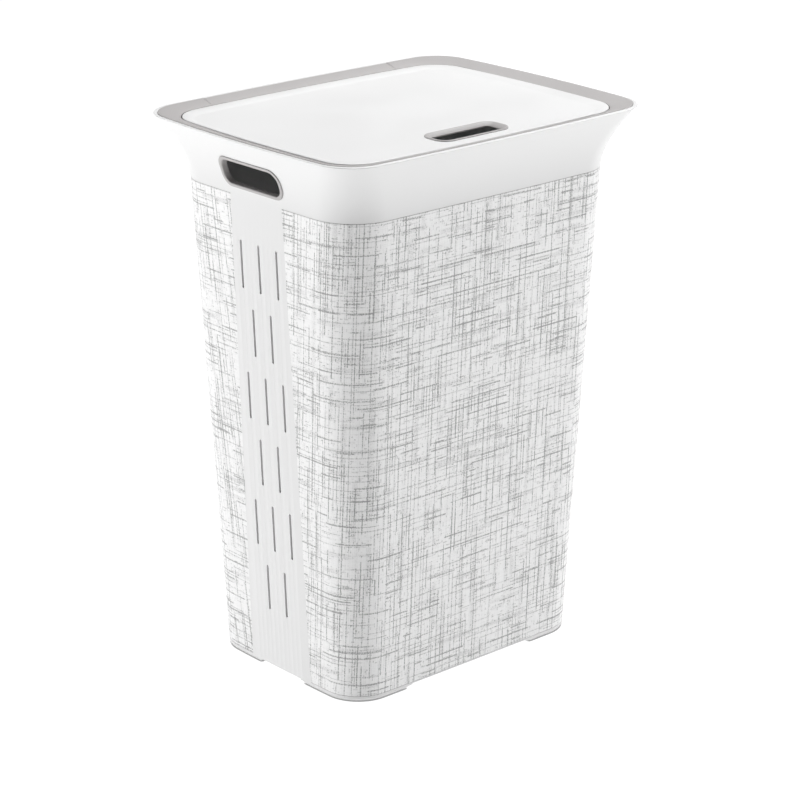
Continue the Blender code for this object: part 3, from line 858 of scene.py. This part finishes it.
def lid_ribs():
    ribs = []
    half_d = LID[1] - LID_BORDER - 20 * MM
    for x in LID_RIB_X:
        rib_x = (x - LID_RIB / 2, x + LID_RIB / 2)
        ribs.append(box(rib_x, (-half_d, half_d), (LID_RIB_Z, LID_PANEL_Z - MM)))
    return ribs


def make_lid(mat):
    lid = add_mesh("visual_lid_panel", *loft(lid_rows()), mat)
    cut(lid, *merged(lid_ribs() + [studs(STUD_RADIUS, LID_RIB_Z, LID_PANEL_Z - MM)]), operation="UNION")
    hole = rounded_rect(*(v + SLEEVE_GAP for v in LID_HANDLE_SLEEVE))
    hole = [(x, y + LID_HANDLE_Y) for x, y in hole]
    cut(lid, *prism(hole, 2, LID_RIB_Z - MM, HEIGHT))
    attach(lid, "lid")
    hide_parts("lid_panel")


def make_lid_handle(mat):
    def ring(shape, z, margin=0.0):
        points = rounded_rect(*(v + margin for v in shape))
        return [(x, y + LID_HANDLE_Y, z) for x, y in points]

    seat = LID_PANEL_Z + BEZEL_SEAT
    rows = [ring(LID_HANDLE_FLANGE, seat)]
    for inset, drop in arc((-BEZEL_ROUND, -BEZEL_ROUND), BEZEL_ROUND, 0, 90, 4):
        rows.append(ring(LID_HANDLE_FLANGE, LID_HANDLE_TOP + drop, inset))
    rows.extend((
        ring(LID_HANDLE_FLANGE, LID_HANDLE_TOP, -1.9 * MM),
        ring(LID_HANDLE_FLANGE, LID_HANDLE_TOP - 0.3 * MM, -2.5 * MM),
        ring(LID_HANDLE_INNER, LID_HANDLE_TOP - 2.6 * MM, 0.9 * MM),
        ring(LID_HANDLE_INNER, LID_HANDLE_TOP - 3.6 * MM),
        ring(LID_HANDLE_INNER, LID_HANDLE_BOTTOM),
        ring(LID_HANDLE_SLEEVE, LID_HANDLE_BOTTOM),
        ring(LID_HANDLE_SLEEVE, seat),
    ))
    bezel = add_mesh("visual_lid_handle_bezel", *loft(rows, wrap=True), mat)
    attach(bezel, "lid")
    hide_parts("lid_handle_bezel")


def make_side_handle(name, node, side, mat):
    """A bezel whose flange lies on the flared collar, with a sleeve through the wall."""
    def ring(shape, proud, margin=0.0):
        row = []
        for y, z in rounded_rect(*(v + margin for v in shape)):
            half_w, half_d, _, bow_x, bow_y = wall_shape(z + HANDLE_Z)
            bow = bow_x * (y / (half_d - bow_y)) ** 2
            row.append((side * (half_w - bow + proud), y, z + HANDLE_Z))
        return row

    rows = [ring(HANDLE_FLANGE, BEZEL_SEAT)]
    for inset, drop in arc((-BEZEL_ROUND, -BEZEL_ROUND), BEZEL_ROUND, 0, 90, 4):
        rows.append(ring(HANDLE_FLANGE, FLANGE_PROUD + drop, inset))
    rows.append(ring(HANDLE_INNER, FLANGE_PROUD, 2.0 * MM))
    for inset, drop in arc((1.6 * MM, -1.6 * MM), 1.6 * MM, 100, 180, 5):
        rows.append(ring(HANDLE_INNER, FLANGE_PROUD + drop, inset))
    rows.append(ring(HANDLE_INNER, -SLEEVE_DEPTH))
    rows.append(ring(HANDLE_SLEEVE, -SLEEVE_DEPTH))
    rows.append(ring(HANDLE_SLEEVE, BEZEL_SEAT))
    bezel = add_mesh(name, *loft(rows, wrap=True), mat)
    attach(bezel, "basket")
    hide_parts(node)


# ---------------------------------------------------------------- hinge pins


def finish_pins(mat):
    """The frame's own pins are shown as they are, with the steel look."""
    for pin in ("hinge_pin_left", "hinge_pin_right"):
        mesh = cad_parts[pin].data
        mesh.materials.clear()
        mesh.materials.append(mat)


# ---------------------------------------------------------------- studio


def glowing_white(name):
    """A white that glows evenly except close under an edge, where the glow dims into a painted contact
    shadow, so that only contacts look shaded.
    """
    mat, tree, shader = blank_material(name, FLOOR_GREY, 0.9)
    shader.inputs["Emission Color"].default_value = (1.0, 1.0, 1.0, 1.0)
    near = {"Distance": FLOOR_SHADE_REACH}
    open_share = add_node(tree, "ShaderNodeAmbientOcclusion", near, samples=8).outputs["AO"]
    # Painted contact shadow: less glow where the floor lies close under an edge
    glow = ramp(tree, open_share, 0.35, 0.95, 0.25, FLOOR_GLOW)
    tree.links.new(glow, shader.inputs["Emission Strength"])
    shader.inputs["Specular IOR Level"].default_value = 0.0
    return mat


def make_floor():
    half = FLOOR_HALF
    corners = [(-half, -half, 0), (half, -half, 0), (half, half, 0), (-half, half, 0)]
    floor = add_mesh("floor", corners, [(0, 1, 2, 3)], glowing_white("floor_white"))


def make_world():
    world = bpy.data.worlds.new("studio")
    world.use_nodes = True
    background = world.node_tree.nodes["Background"]
    background.inputs["Color"].default_value = (1.0, 1.0, 1.0, 1.0)
    background.inputs["Strength"].default_value = WORLD_GLOW
    bpy.context.scene.world = world


def aim(obj, place, target):
    """Put a lamp or a camera at a place and turn it to a target."""
    obj.location = place
    obj.rotation_euler = (Vector(target) - Vector(place)).to_track_quat("-Z", "Y").to_euler()
    bpy.context.scene.collection.objects.link(obj)


def add_softbox(name, place, size, power):
    data = bpy.data.lights.new(name, "AREA")
    data.shape = "RECTANGLE"
    data.size, data.size_y = size
    data.energy = power
    aim(bpy.data.objects.new(name, data), place, SOFTBOX_TARGET)


def add_camera():
    data = bpy.data.cameras.new("camera")
    data.lens = LENS
    data.sensor_width = SENSOR_WIDTH
    camera = bpy.data.objects.new("camera", data)
    aim(camera, CAMERA_PLACE, CAMERA_TARGET)
    bpy.context.scene.camera = camera
    bpy.context.scene.view_settings.view_transform = "Standard"


def main():
    white = moulded_plastic("white_plastic_look", WHITE, 0.40, 1.2 * MM, 1600.0, 0.05)
    grey = moulded_plastic("grey_plastic_look", GREY, 0.42, 0.3 * MM, 1300.0, 0.12)
    make_shell(white)
    make_film("visual_print_film_front", "print_film_front", -1, linen_print("linen_front_look", 3.0))
    make_film("visual_print_film_rear", "print_film_rear", 1, linen_print("linen_rear_look", 811.0))
    make_rim(grey)
    make_hinge_strip(grey)
    make_lid(white)
    make_lid_handle(grey)
    make_side_handle("visual_side_handle_left", "side_handle_bezel_left", -1, grey)
    make_side_handle("visual_side_handle_right", "side_handle_bezel_right", 1, grey)
    finish_pins(drawn_steel("pin_steel_look"))
    make_floor()
    make_world()
    for name, place, size, power in SOFTBOXES:
        add_softbox(name, place, size, power)
    add_camera()


main()
